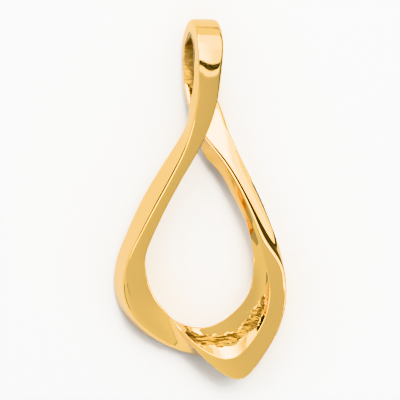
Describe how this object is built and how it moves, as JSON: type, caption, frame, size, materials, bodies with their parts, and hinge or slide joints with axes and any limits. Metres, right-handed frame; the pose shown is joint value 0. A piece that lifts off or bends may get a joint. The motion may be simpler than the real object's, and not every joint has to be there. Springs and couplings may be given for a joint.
{
  "type": "slide pendant",
  "caption": "Open drop-shaped slide pendant: a twisted gold band that crosses itself and turns over at the top as the bail a chain slides through.",
  "frame": {"origin": "on the table under the middle of the pendant's box, with the pendant lying on its back", "axes": "+X to the wearer's left, which is right in a front view; +Y up the pendant's length towards the bail; +Z out of the front"},
  "size_m": [0.012, 0.025, 0.0041],
  "materials": {
    "gold": "14 carat yellow gold, cast, tumbled and polished to a mirror"
  },
  "bodies": {
    "root": {"pendant": "gold"}
  },
  "joints": []
}
